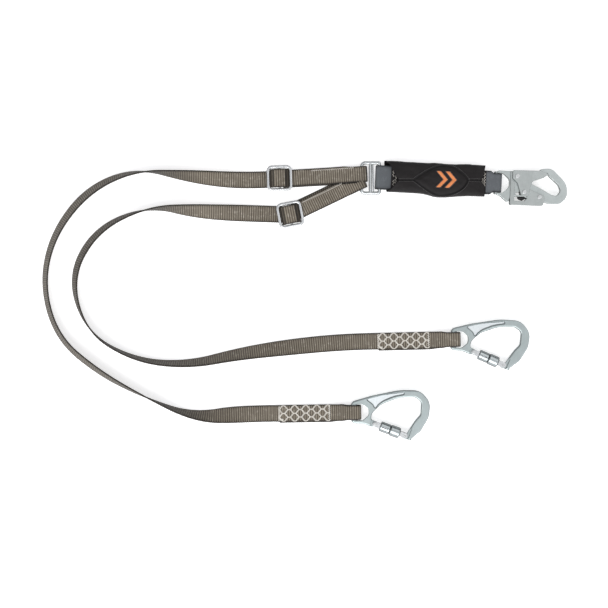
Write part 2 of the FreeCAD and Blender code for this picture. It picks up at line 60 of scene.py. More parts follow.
# Free legs: middle of the webbing in metres, and its roll in degrees. At 90 it stands on edge;
# past that it leans inwards.
OUTER_LEG = [
    (-0.23186, 0.18942, 0.0013, 0), (-0.273, 0.18705, 0.0013, 8), (-0.3531, 0.1932, 0.0111, 50),
    (-0.4374, 0.2046, 0.0128, 108), (-0.5122, 0.1725, 0.0112, 127), (-0.5653, 0.1036, 0.0118, 121),
    (-0.5822, 0.025, 0.0124, 116), (-0.5587, -0.0574, 0.0126, 114), (-0.4953, -0.1105, 0.0126, 114),
    (-0.4248, -0.1486, 0.0131, 100), (-0.3469, -0.1806, 0.0124, 68), (-0.270, -0.1761, 0.0013, 0),
    (-0.23028, -0.17541, 0.0013, 0),
]
INNER_LEG = [
    (-0.1974, 0.1345, 0.0013, 0), (-0.245, 0.136, 0.0013, 0), (-0.336, 0.1387, 0.0087, 34),
    (-0.4182, 0.1469, 0.0131, 97), (-0.4989, 0.1110, 0.0118, 121), (-0.5397, 0.0361, 0.0121, 119),
    (-0.5128, -0.0496, 0.0131, 97), (-0.4386, -0.0918, 0.0131, 81), (-0.3571, -0.0996, 0.0125, 67),
    (-0.2764, -0.0820, 0.0103, 47), (-0.1961, -0.0714, 0.0055, 19), (-0.116, -0.06405, 0.0013, 0),
    (-0.07596, -0.06307, 0.0013, 0),
]
LEGS = {"outer": OUTER_LEG, "inner": INNER_LEG}

# Webbing
WEB_WIDTH = 26 * MM
WEB_THICK = 2.4 * MM
RIB_PITCH = 3.45 * MM
RIB_HEIGHT = 0.34 * MM
WRAP_WIDTH = 29 * MM
PACK_WEB = 37 * MM  # the absorber's webbing
PACK_PITCH = 1.5 * MM
PACK_RIBS = 0.12 * MM
PLY = 2.5 * MM  # height of one webbing ply with its clearance
LOW_PLY = 1.3 * MM
HIGH_PLY = LOW_PLY + PLY

# Where the sewn pieces lie
MID = JOINTS["hook_swing"]["pos_m"][2]
STRAP_REACH = {"outer": 0.1456, "inner": 0.1229}  # from the ring's bar to the leg's start
EYE_REACH = 0.138  # from the leg's end to the carabiner's bar
ADJUSTER_HEADING = {"outer": 1.5, "inner": 11.0}  # degrees
SPINE_FLOOR = 0.0034  # height of the carabiner spine's pocket above the middle plane
EYE_BEND = 6.0 * MM
EYE_TIP = 4.2 * MM
RING_BEND = 4.1 * MM  # webbing round the ring's bars
HOOK_BEND = 5.5 * MM

# Sewing
SEWN = (-123.5 * MM, -43 * MM)  # the lattice stitching, from the webbing's end to the eye
LATTICE_ROWS = 4
LATTICE_GAP = 5.9 * MM
LATTICE_WAVE = 17.3 * MM
LATTICE_THREAD = 0.58 * MM  # radius, as are the other threads' sizes
EDGE_THREAD = 0.36 * MM
COVER_THREAD = 0.26 * MM
CORD_EDGE = 0.62 * MM
TACK_THREAD = 0.3 * MM
THREAD_SINK = 0.35  # rise and fall of a thread along a stitch, in radii

# Absorber cover, in mm in the absorber's frame: the outline of the panel that bulges out between
# its two flaps, the seams at the panel's ends, and the notched ends as (y, x).
PANEL = [(52.6, -2.9), (62, 4.6), (75, 13.2), (88, 19.6), (100, 21.6), (113, 19.6), (124, 13.5),
         (132, 6.5), (136.6, 1.0), (132, -8), (124, -16), (113, -21.5), (100, -24.4), (88, -24.2),
         (76, -18.5), (64, -10.5), (52.6, -2.9)]
SEAMS = [[(29.4, -4.0), (41, -3.2), (52.6, -2.9)], [(136.6, 1.0), (146, 1.6), (155.3, 1.5)]]
LEFT_EDGE = [(-22.2, 12.4), (-17.8, 18.4), (-4.0, 29.4), (20.0, 14.7), (26.2, 6.5)]
LEFT_EDGE_BELOW = [(-22, 12.4), (26, 6.5)]
RIGHT_EDGE = [(-22.2, 164), (-6.7, 162.7), (1.5, 155.3), (12.5, 160.8), (26.2, 163.5)]
RIGHT_END = 164.0
COVER_WALL = 1.3
COVER_ROWS, COVER_COLUMNS = 236, 168
COVER_SAMPLES = 4001  # points round the section that sets the columns' spacing
COVER_MIDDLE, COVER_PLAIN = 95.0, 60.0  # x where its columns are spaced, and its ends cut
BACKING_STEPS, TACK_STEPS = 60, 220

# Chevrons, in mm: where each starts, half its span, how far its tip leads, its arms' width.
CHEVRON_STARTS = (86.4, 100.2)
CHEVRON_ARM, CHEVRON_SLOPE, CHEVRON_WIDE = 12.5, 11.2, 7.6
CHEVRON_ROWS, CHEVRON_COLUMNS = 177, 15
SATIN_PITCH = 0.62

# Steel by slot: material, tint, and its lowest and highest roughness
STEELS = {
    "forged_steel": ("zinc_forging", (0.60, 0.65, 0.64), 0.28, 0.44),
    "pressed_steel": ("zinc_plate", (0.58, 0.62, 0.61), 0.24, 0.38),
    "turned_steel": ("turned_zinc", (0.56, 0.61, 0.62), 0.20, 0.34),
    "plated_steel": ("bright_plating", (0.88, 0.90, 0.91), 0.16, 0.30),
    "rivet_steel": ("rivet_head", (0.78, 0.80, 0.80), 0.22, 0.38),
    "spring_steel": ("spring_wire", (0.10, 0.10, 0.10), 0.3, 0.45),
}

# Studio: lights as (name, place, size, watts), and the sky's brightness by height
CAMERA_PLACE = (-0.1759, -0.0047, 2.05)
FOCAL_LENGTH = 77.8
LIGHTS = [("key", (-0.7, -1.2, 1.7), 1.3, 17), ("fill", (1.1, 1.0, 1.6), 1.6, 6),
          ("rim", (0.3, -1.6, 0.8), 0.7, 5)]
SKY = [(0.0, 1.30), (0.18, 1.10), (0.24, 0.12), (0.34, 0.16), (0.50, 0.98), (0.72, 1.05),
       (0.90, 0.90), (1.0, 0.84)]
SKY_STRENGTH = 0.95
FLOOR_GLOW = 0.5
FLOOR_REACH = 40
FLOOR_DROP = 0.0004


# ---- camera and room
def camera():
    """Looks straight down on the laid-out lanyard, as the photograph does."""
    data = bpy.data.cameras.new("camera")
    data.sensor_width = 36.0
    data.lens = FOCAL_LENGTH
    data.clip_end = 120
    piece = bpy.data.objects.new("camera", data)
    piece.location = CAMERA_PLACE
    bpy.context.scene.collection.objects.link(piece)
    bpy.context.scene.camera = piece


def ground():
    reach = FLOOR_REACH
    corners = [(-reach, -reach, 0), (reach, -reach, 0), (reach, reach, 0), (-reach, reach, 0)]
    floor = mesh_piece("floor", corners, [(0, 1, 2, 3)])
    floor.location.z = -FLOOR_DROP
    floor.data.materials.append(floor_material())


def lamps():
    for name, place, size, power in LIGHTS:
        data = bpy.data.lights.new(name, "AREA")
        data.size = size
        data.energy = power
        lamp = bpy.data.objects.new(name, data)
        lamp.location = place
        aim = Vector((-0.1, 0, 0)) - Vector(place)
        lamp.rotation_euler = aim.to_track_quat("-Z", "Y").to_euler()
        bpy.context.scene.collection.objects.link(lamp)


def sky():
    """Studio surround: a dark band above the horizon, and less light from the +Y side."""
    world = bpy.data.worlds.new("studio")
    bpy.context.scene.world = world
    world.use_nodes = True
    nodes, links = world.node_tree.nodes, world.node_tree.links
    surround = nodes["Background"]
    coord = nodes.new("ShaderNodeTexCoord")
    split = nodes.new("ShaderNodeSeparateXYZ")
    height = nodes.new("ShaderNodeValToRGB")
    for i, (place, tone) in enumerate(SKY):
        stop = height.color_ramp.elements[i] if i < 2 else height.color_ramp.elements.new(place)
        stop.position = place
        stop.color = (tone, tone, tone * 1.02, 1)
    side = nodes.new("ShaderNodeMapRange")
    limits = (("From Min", -0.5), ("From Max", 0.5), ("To Min", 1.35), ("To Max", 0.45))
    for socket, value in limits:
        side.inputs[socket].default_value = value
    shaded = nodes.new("ShaderNodeVectorMath")
    shaded.operation = "SCALE"
    links.new(coord.outputs["Generated"], split.inputs[0])
    links.new(split.outputs["Z"], height.inputs[0])
    links.new(split.outputs["Y"], side.inputs["Value"])
    links.new(height.outputs[0], shaded.inputs[0])
    links.new(side.outputs[0], shaded.inputs["Scale"])
    links.new(shaded.outputs[0], surround.inputs["Color"])
    surround.inputs["Strength"].default_value = SKY_STRENGTH


# ---- materials
class Shader:
    """Small helper round one node material."""

    def __init__(self, name, roughness=0.6, metallic=0.0):
        self.material = bpy.data.materials.new(name)
        self.material.use_nodes = True
        self.tree = self.material.node_tree
        self.surface = self.tree.nodes["Principled BSDF"]
        self.put("Roughness", roughness)
        self.put("Metallic", metallic)

    def node(self, kind, **values):
        made = self.tree.nodes.new(kind)
        for key, value in values.items():
            setattr(made, key, value)
        return made

    def link(self, source, target):
        self.tree.links.new(source, target)

    def feed(self, socket, value):
        """Link a socket to an output, or set it to a number or a colour."""
        if hasattr(value, "is_output"):
            self.link(value, socket)
        elif isinstance(value, tuple):
            socket.default_value = (*value, 1)
        else:
            socket.default_value = value

    def put(self, name, value):
        self.feed(self.surface.inputs[name], value)

    def math(self, operation, a, b=None):
        made = self.node("ShaderNodeMath", operation=operation)
        for socket, value in zip(made.inputs, (a, b)):
            if value is not None:
                self.feed(socket, value)
        return made.outputs[0]

    def blend(self, *terms):
        """Sum of factors, each with its weight."""
        total = None
        for value, weight in terms:
            part = self.math("MULTIPLY", value, weight)
            total = part if total is None else self.math("ADD", total, part)
        return total

    def mix(self, factor, a, b):
        made = self.node("ShaderNodeMix", data_type="RGBA")
        for i, value in ((0, factor), (6, a), (7, b)):
            self.feed(made.inputs[i], value)
        return made.outputs[2]

    def noise(self, scale, detail=3.0, vector=None, rough=0.55):
        made = self.node("ShaderNodeTexNoise")
        made.inputs["Scale"].default_value = scale
        made.inputs["Detail"].default_value = detail
        made.inputs["Roughness"].default_value = rough
        if vector is None:
            vector = self.node("ShaderNodeTexCoord").outputs["Object"]
        self.link(vector, made.inputs["Vector"])
        return made.outputs["Fac"]

    def range(self, value, low, high, to_low=0.0, to_high=1.0):
        made = self.node("ShaderNodeMapRange", clamp=True)
        self.link(value, made.inputs[0])
        for i, number in enumerate((low, high, to_low, to_high)):
            made.inputs[i + 1].default_value = number
        return made.outputs[0]

    def bump(self, height, strength, distance, normal=None):
        made = self.node("ShaderNodeBump")
        if normal is not None:
            self.link(normal, made.inputs["Normal"])
        made.inputs["Strength"].default_value = strength
        made.inputs["Distance"].default_value = distance
        self.link(height, made.inputs["Height"])
        self.link(made.outputs[0], self.surface.inputs["Normal"])

    def facing(self, low, high, to_low, to_high):
        """A factor that grows as the surface turns from its side to its broad face."""
        split = self.node("ShaderNodeSeparateXYZ")
        self.link(self.node("ShaderNodeTexCoord").outputs["Normal"], split.inputs[0])
        return self.range(self.math("ABSOLUTE", split.outputs[2]), low, high, to_low, to_high)

    def weave_axes(self):
        """Distance across and along the webbing, in metres."""
        uv = self.node("ShaderNodeUVMap", uv_map="weave")
        split = self.node("ShaderNodeSeparateXYZ")
        self.link(uv.outputs[0], split.inputs[0])
        return split.outputs[0], split.outputs[1]


def half_wave(shader, value, pitch):
    turned = shader.math("MULTIPLY", value, 2 * math.pi / pitch)
    swing = shader.math("COSINE", turned)
    return shader.math("ADD", shader.math("MULTIPLY", swing, 0.5), 0.5)


def floor_material():
    shader = Shader("floor_paint", 0.9)
    tone = shader.noise(1.2, 2.0)
    shader.put("Base Color", shader.mix(tone, (0.93, 0.93, 0.93), (0.95, 0.95, 0.95)))
    shader.put("Specular IOR Level", 0.1)
    shader.put("Emission Color", (1, 1, 1))
    shader.put("Emission Strength", FLOOR_GLOW)
    return shader.material


def webbing_material(name, dark, light, worn, pitch, yarn):
    """Ribbed webbing: ribs across, yarns along, fuzz, paler worn places, and painted light and shade: lit rib
    crowns, dark rib valleys, and darker sides, selvages and gaps.
    """
    shader = Shader(name, 0.82)
    across, along = shader.weave_axes()
    rib = half_wave(shader, along, pitch)
    row = shader.math("FLOOR", shader.math("DIVIDE", along, pitch))
    shifted = shader.math("ADD", across, shader.math("MULTIPLY", row, yarn * 0.5))
    strand = half_wave(shader, shifted, yarn)
    fuzz = shader.noise(2600, 4.0)
    blotch = shader.noise(26, 4.0)
    wear = shader.noise(140, 5.0, rough=0.7)
    # Painted highlight on the rib crowns and painted shade in the valleys; the crowns also take the wear.
    crown_lit_and_worn = shader.math("POWER", rib, 1.5)
    tone = shader.blend((crown_lit_and_worn, 0.62), (strand, 0.16), (fuzz, 0.5), (blotch, 0.25))
    base = shader.mix(shader.range(tone, 0.32, 1.2), dark, light)
    scuffed = shader.math("MULTIPLY", shader.range(wear, 0.52, 0.70, 0.0, 0.75), crown_lit_and_worn)
    base = shader.mix(scuffed, base, worn)
    # Painted shade: the webbing darkens as it turns from flat towards on edge.
    shadow = tuple(c * 0.22 for c in dark)
    base = shader.mix(shader.facing(0.05, 0.78, 0.9, 0.0), base, shadow)
    # Painted shade from a point attribute: dark selvages, and dark places where the webbing dips into gaps.
    selvage = shader.node("ShaderNodeAttribute", attribute_name="selvage")
    base = shader.mix(shader.math("MULTIPLY", selvage.outputs["Fac"], 0.85), base, shadow)
    shader.put("Base Color", base)
    shader.put("Roughness", shader.range(fuzz, 0.3, 0.7, 0.72, 0.92))
    shader.bump(shader.blend((strand, 0.5), (fuzz, 0.7), (rib, 0.5)), 0.7, 0.00025)
    shader.put("Sheen Weight", 0.12)
    shader.put("Sheen Roughness", 0.5)
    shader.put("Specular IOR Level", 0.25)
    return shader.material


def cover_material():
    """Tightly woven coated nylon, nearly black, with paler cloudy patches that are partly dust and partly painted
    sheen.
    """
    shader = Shader("cover_nylon", 0.6)
    across, along = shader.weave_axes()
    cloth = shader.math("MAXIMUM", *(half_wave(shader, way, 0.0009) for way in (across, along)))
    # Paler cloudy patches: dust, and painted sheen standing in for soft highlights on the folds.
    dust_and_sheen = shader.noise(60, 6.0, rough=0.65)
    fibre = shader.noise(1900, 3.0)
    tone = shader.blend((cloth, 0.35), (dust_and_sheen, 0.6), (fibre, 0.25))
    base = shader.mix(shader.range(tone, 0.35, 1.1), (0.005, 0.0045, 0.005), (0.023, 0.02, 0.02))
    # Painted shade in the seam grooves, read from a point attribute.
    seam_shade = shader.node("ShaderNodeAttribute", attribute_name="seam")
    base = shader.mix(seam_shade.outputs["Fac"], base, (0.004, 0.004, 0.004))
    shader.put("Base Color", base)
    shader.put("Roughness", shader.range(dust_and_sheen, 0.35, 0.7, 0.5, 0.74))
    shader.bump(shader.blend((cloth, 0.8), (fibre, 0.5)), 0.5, 0.0002)
    shader.put("Sheen Weight", 0.02)
    shader.put("Specular IOR Level", 0.2)
    return shader.material


def thread_material(name, dark, light, gloss=0.5):
    shader = Shader(name, gloss)
    ply = shader.noise(1500, 3.0)
    patches = shader.noise(90, 2.0)
    tone = shader.blend((ply, 0.6), (patches, 0.5))
    shader.put("Base Color", shader.mix(shader.range(tone, 0.3, 0.8), dark, light))
    shader.bump(ply, 0.5, 0.0001)
    shader.put("Sheen Weight", 0.2)
    return shader.material


def steel_material(name, tint, rough_low, rough_high, floor=None):
    """Zinc plated steel: cloudy plating, scratches, pits, and painted shade on its sides and rounded edges.
    floor is the height of a pocket's rough, paler floor."""
    shader = Shader(name, 0.3, 1.0)
    coord = shader.node("ShaderNodeTexCoord").outputs["Object"]
    stretch = shader.node("ShaderNodeMapping")
    stretch.inputs["Scale"].default_value = (1, 0.12, 1)
    shader.link(coord, stretch.inputs[0])
    cloud = shader.noise(55, 5.0, rough=0.6)
    scratch = shader.noise(900, 3.0, vector=stretch.outputs[0])
    pits = shader.noise(700, 2.0)
    tone = shader.blend((cloud, 0.8), (scratch, 0.3))
    darker = tuple(c * 0.76 for c in tint)
    base = shader.mix(shader.range(tone, 0.35, 0.75), darker, tint)
    rough = shader.range(tone, 0.3, 0.8, rough_high, rough_low)
    if floor is not None:
        split = shader.node("ShaderNodeSeparateXYZ")
        shader.link(coord, split.inputs[0])
        offset = shader.math("ABSOLUTE", shader.math("SUBTRACT", split.outputs[2], floor))
        panel = shader.range(offset, 0.0003, 0.0006, 1.0, 0.0)
        pale = shader.mix(shader.noise(420, 4.0), (0.62, 0.67, 0.69), (0.86, 0.90, 0.91))
        base = shader.mix(panel, base, pale)
        rough = shader.math("MAXIMUM", rough, shader.math("MULTIPLY", panel, 0.55))
    # Painted shade: the sides darken as they turn from the broad faces, and rounded edges darken too.
    rim = tuple(c * 0.16 for c in tint)
    base = shader.mix(shader.facing(0.45, 0.93, 0.9, 0.0), base, rim)
    rounded = shader.node("ShaderNodeBevel", samples=6)
    rounded.inputs["Radius"].default_value = 0.0008
    same = shader.node("ShaderNodeVectorMath", operation="DOT_PRODUCT")
    shader.link(rounded.outputs[0], same.inputs[0])
    shader.link(shader.node("ShaderNodeNewGeometry").outputs["Normal"], same.inputs[1])
    # Painted shade on the rounded edges, where the bevel normal leaves the true normal.
    corner = shader.range(same.outputs["Value"], 0.80, 0.995, 0.85, 0.0)
    base = shader.mix(corner, base, rim)
    shader.put("Base Color", base)
    shader.put("Roughness", rough)
    shader.bump(shader.blend((scratch, 0.5), (pits, 0.6)), 0.22, 0.0002, rounded.outputs[0])
    return shader.material


# ---- mesh helpers
def mesh_piece(name, points, faces, smooth=False, uv=None):
    data = bpy.data.meshes.new(name)
    data.from_pydata([tuple(p) for p in points], [], faces)
    if smooth:
        data.polygons.foreach_set("use_smooth", [True] * len(data.polygons))
    if uv is not None:
        layer = data.uv_layers.new(name="weave")
        corners = np.empty(len(data.loops), dtype=np.int32)
        data.loops.foreach_get("vertex_index", corners)
        layer.data.foreach_set("uv", np.asarray(uv, dtype=np.float32)[corners].ravel())
    data.validate()
    piece = bpy.data.objects.new(name, data)
    bpy.context.scene.collection.objects.link(piece)
    return piece


def grid_faces(rows, columns, wrap):
    """Quads of a grid of rows by columns, closed round its columns if wrap."""
    span = columns if wrap else columns - 1
    i = np.arange(rows - 1)[:, None] * columns
    j = np.arange(span)[None, :]
    k = (np.arange(span)[None, :] + 1) % columns
    quads = np.stack([i + j, i + k, i + columns + k, i + columns + j], axis=-1)
    return [tuple(q) for q in quads.reshape(-1, 4).tolist()]


def tube_faces(rows, columns, base=0):
    """Faces of a tube with closed ends, for points that start at base."""
    faces = [tuple(base + i for i in quad) for quad in grid_faces(rows, columns, True)]
    faces.append(tuple(range(base + columns - 1, base - 1, -1)))
    last = base + (rows - 1) * columns
    faces.append(tuple(range(last, last + columns)))
    return faces


def unit(v):
    return v / np.maximum(np.linalg.norm(v, axis=-1, keepdims=True), 1e-12)


def resample(points, step, extra=None):
    """Points evenly spaced along a polyline, with any extra values carried over."""
    s = np.concatenate([[0], np.cumsum(np.linalg.norm(np.diff(points, axis=0), axis=1))])
    count = max(2, int(round(s[-1] / step)) + 1)
    at = np.linspace(0, s[-1], count)
    line = np.stack([np.interp(at, s, points[:, k]) for k in range(points.shape[1])], axis=1)
    carried = None if extra is None else np.interp(at, s, extra)
    return line, at, carried


def tangents(line):
    return unit(np.gradient(line, axis=0))


def section_outline(flat_count):
    """Webbing section going round: (side -1..1, end cap offset, height -1..1)."""
    flats = np.concatenate([[-1], np.linspace(-0.93, 0.93, flat_count - 2), [1]])
    turn = np.linspace(math.pi / 2, -math.pi / 2, 5)[1:-1]
    ring = [(a, 0.0, 1.0) for a in flats]
    ring += [(1.0, math.cos(t), math.sin(t)) for t in turn]
    ring += [(a, 0.0, -1.0) for a in flats[::-1]]
    ring += [(-1.0, -math.cos(t), -math.sin(t)) for t in turn]
    return np.array(ring)


def strap(name, line, at, across, normal, low, high, pitch, ribs, thick=WEB_THICK, flat_count=13):
    """Webbing along a line. low and high are how far it reaches to either side."""
    ring = section_outline(flat_count)
    edge = thick / 2
    low, high = low - edge, high - edge
    side = ring[None, :, 0]
    reach = np.where(side < 0, -side * low[:, None], side * high[:, None]) * np.sign(side)
    reach = reach + ring[None, :, 1] * edge
    wobble = np.array([noise.noise(Vector((s * 60, 0.3, 0.7))) for s in at]) * pitch * 0.05
    bow = (1 - side ** 2) * pitch * 0.12
    phase = np.abs(np.cos(math.pi * (at[:, None] + wobble[:, None] + bow) / pitch)) ** 0.75
    lift = ribs * (phase - 0.75)
    height = ring[None, :, 2] * (edge + lift)
    reach = reach + ring[None, :, 1] * lift * 0.8
    points = (line[:, None] + across[:, None] * reach[..., None]
              + normal[:, None] * height[..., None])
    columns = len(ring)
    uv = np.stack([reach, np.repeat(at[:, None], columns, axis=1)], axis=-1).reshape(-1, 2)
    faces = tube_faces(len(line), columns)
    piece = mesh_piece(name, points.reshape(-1, 3), faces, True, uv)
    # Painted shade along both selvages; shade() adds more where the webbing dips into gaps.
    selvage = piece.data.attributes.new("selvage", "FLOAT", "POINT")
    at_edge = np.clip(np.abs(ring[:, 0]) * 10 - 9, 0, 1).astype(np.float32)
    selvage.data.foreach_set("value", np.tile(at_edge, len(line)))
    return piece


def shade(piece, place, darkness):
    """Paint shade on webbing where it turns down into a gap; darkness is a function of the local x."""
    points = np.empty(len(piece.data.vertices) * 3)
    piece.data.vertices.foreach_get("co", points)
    local = (points.reshape(-1, 3) - place.origin) @ place.ahead
    layer = piece.data.attributes["selvage"].data
    values = np.empty(len(layer))
    layer.foreach_get("value", values)
    layer.foreach_set("value", np.maximum(values, darkness(local)).astype(np.float32))


def rounded_path(points, step):
    """Straight runs joined by tangent arcs; points are (x, z, radius)."""
    places = [np.array(p[:2], dtype=float) for p in points]
    line = [places[0]]
    for i in range(1, len(points) - 1):
        back, ahead = unit(places[i - 1] - places[i]), unit(places[i + 1] - places[i])
        half = math.acos(float(np.clip(back @ ahead, -1, 1))) / 2
        radius = points[i][2]
        if radius <= 0 or half > math.pi / 2 - 1e-4:
            line.append(places[i])
            continue
        reach = radius / math.tan(half)
        centre = places[i] + unit(back + ahead) * radius / math.sin(half)
        first, last = places[i] + back * reach, places[i] + ahead * reach
        a0 = math.atan2(*(first - centre)[::-1])
        turn = math.atan2(*(last - centre)[::-1]) - a0
        turn = (turn + math.pi) % (2 * math.pi) - math.pi
        count = max(3, int(abs(turn) * radius / step) + 1)
        for t in np.linspace(0, 1, count):
            angle = a0 + turn * t
            line.append(centre + radius * np.array([math.cos(angle), math.sin(angle)]))
    line.append(places[-1])
    return np.array(line)


class Place:
    """A flat frame on the ground: origin, and the heading of its own +X."""

    def __init__(self, x, y, heading):
        self.origin = np.array([x, y, 0.0])
        self.ahead = np.array([math.cos(heading), math.sin(heading), 0.0])
        self.side = np.array([-math.sin(heading), math.cos(heading), 0.0])

    def out(self, local):
        local = np.asarray(local, dtype=float)
        return (self.origin + local[..., 0:1] * self.ahead + local[..., 1:2] * self.side
                + local[..., 2:3] * UP)


def ribbon(name, place, profile, sides=None, width=WEB_WIDTH, pitch=RIB_PITCH, ribs=RIB_HEIGHT):
    """Webbing that follows an (x, z, radius) side profile in a place's frame."""
    flat, at, _ = resample(rounded_path(profile, 0.3 * MM), pitch / 8)
    local = np.stack([flat[:, 0], np.zeros(len(flat)), flat[:, 1]], axis=1)
    heading = tangents(local)
    across = np.tile(place.side, (len(flat), 1))
    ahead = heading[:, 0:1] * place.ahead + heading[:, 2:3] * UP
    normal = unit(np.cross(ahead, across))
    half = np.full(len(flat), width / 2)
    low, high = (half, half) if sides is None else sides(local, half)
    return strap(name, place.out(local), at, across, normal, low, high, pitch, ribs)


def thread(name, paths, radius, stitch=0.003):
    """Sewing thread along polylines, pulled down between its stitches."""
    points, faces = [], []
    sides = 6
    for path in paths:
        line, at, _ = resample(np.asarray(path), 0.45 * MM)
        along = tangents(line)
        out = np.broadcast_to(UP, line.shape)
        across = unit(np.cross(along, out))
        out = unit(np.cross(across, along))
        swell = np.abs(np.sin(math.pi * at / stitch)) ** 0.5
        centre = line + out * (radius * THREAD_SINK * (swell - 0.6))[:, None]
        size = radius * (0.62 + 0.38 * swell)
        base = len(points)
        for k in range(len(line)):
            for j in range(sides):
                turn = 2 * math.pi * j / sides
                swing = across[k] * math.cos(turn) * 1.1 + out[k] * math.sin(turn) * 0.8
                points.append(centre[k] + size[k] * swing)
        faces += tube_faces(len(line), sides, base)
    return mesh_piece(name, points, faces, True)


# ---- places, from the frame
def swing_place(joint):
    """Frame of a piece that hangs on a bar: the bar's axis is across it."""
    axis = JOINTS[joint]["axis"]
    x, y, _ = JOINTS[joint]["pos_m"]
    return Place(x, y, math.atan2(axis[0], -axis[1]))


def pack_place():
    start, end = JOINTS["absorber_swing"]["pos_m"], JOINTS["hook_swing"]["pos_m"]
    return Place(start[0], start[1], math.atan2(end[1] - start[1], end[0] - start[0]))


def strap_place(side):
    """At the ring's left bar, ahead along the way the adjuster slides."""
    axis = JOINTS[side + "_adjuster_slide"]["axis"]
    start = LEGS[side][0]
    reach = STRAP_REACH[side]
    return Place(start[0] + axis[0] * reach, start[1] + axis[1] * reach,
                 math.atan2(axis[1], axis[0]))


def eye_place(side):
    """At the carabiner's bar, ahead along the end of the leg."""
    before, end = LEGS[side][-2:]
    x, y = end[:2]
    heading = math.atan2(y - before[1], x - before[0])
    return Place(x + EYE_REACH * math.cos(heading), y + EYE_REACH * math.sin(heading), heading)


def adjuster_place(side):
    low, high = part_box(side + "_adjuster_frame")
    return Place((low[0] + high[0]) / 2, (low[1] + high[1]) / 2,
                 math.radians(ADJUSTER_HEADING[side]))


def smooth(value, low, high):
    t = np.clip((np.asarray(value, dtype=float) - low) / (high - low), 0, 1)
    return t * t * (3 - 2 * t)


def finish_piece(piece, material, node=None, body="legs_and_ring"):
    """Give a piece its material and the body it rides on, and hide the CAD node it stands for."""
    piece.data.materials.append(material)
    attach(piece, body)
    if node is not None:
        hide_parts(node)


# ---- free legs
def nurbs_points(points):
    """Points along a quadratic NURBS that starts and ends at its end points."""
    data = bpy.data.curves.new("route", "CURVE")
    data.dimensions = "3D"
    data.resolution_u = 64
    spline = data.splines.new("NURBS")
    spline.points.add(len(points) - 1)
    for point, place in zip(spline.points, points):
        point.co = (*place, 1)
    spline.order_u = 3
    spline.use_endpoint_u = True
    curve = bpy.data.objects.new("route", data)
    bpy.context.scene.collection.objects.link(curve)
    graph = bpy.context.evaluated_depsgraph_get()
    shape = bpy.data.meshes.new_from_object(curve.evaluated_get(graph))
    line = np.array([v.co for v in shape.vertices])
    bpy.data.objects.remove(curve)
    bpy.data.meshes.remove(shape)
    return line


def leg(side, material):
    """Free run of a leg, twisted on edge round its bends."""
    route = LEGS[side]
    line = nurbs_points([p[:3] for p in route])
    roll = nurbs_points([(math.radians(p[3]), 0, 0) for p in route])[:, 0]
    line, at, roll = resample(line, RIB_PITCH / 8, roll)
    along = tangents(line)
    level = unit(np.cross(UP, along))
    across = level * np.cos(roll)[:, None] - UP * np.sin(roll)[:, None]
    normal = unit(np.cross(along, across))
    lowest = (WEB_WIDTH / 2 * np.abs(across[:, 2]) + WEB_THICK / 2 * np.abs(normal[:, 2])
              + RIB_HEIGHT * 0.3)
    line[:, 2] = np.maximum(line[:, 2], lowest)
    half = np.full(len(line), WEB_WIDTH / 2)
    piece = strap(side + "_leg_webbing_look", line, at, across, normal, half, half,
                  RIB_PITCH, RIB_HEIGHT, flat_count=9)
    finish_piece(piece, material, side + "_leg_webbing")


# ---- sewn webbing
def top_height(profile):
    """Height of the upper ply's upper face along x, for stitches that lie on it."""
    flat, _, _ = resample(rounded_path(profile, 0.3 * MM), 0.5 * MM)
    turn = int(np.argmax(flat[:, 0]))
    upper = flat[turn:]
    order = np.argsort(upper[:, 0])
    x, z = upper[order, 0], upper[order, 1]
    return lambda at: np.interp(at, x, z) + WEB_THICK / 2


def eye_profile():
    return [(-0.122, LOW_PLY, 0), (-0.040, LOW_PLY, 0.060), (-0.012, MID - EYE_BEND, 0.030),
            (EYE_TIP, MID - EYE_BEND, EYE_BEND), (EYE_TIP, MID + EYE_BEND, EYE_BEND),
            (-0.012, MID + EYE_BEND, 0.012), (-0.044, HIGH_PLY, 0.060), (-0.124, HIGH_PLY, 0.006),
            (-0.131, LOW_PLY, 0.006), (-0.138, LOW_PLY, 0)]


def ply_shift(local, amount):
    """Sideways shift of the lower ply, which fades out before the fold."""
    lower = np.arange(len(local)) < np.argmax(local[:, 0])
    return amount * lower * smooth(-local[:, 0], 0.022, 0.045)


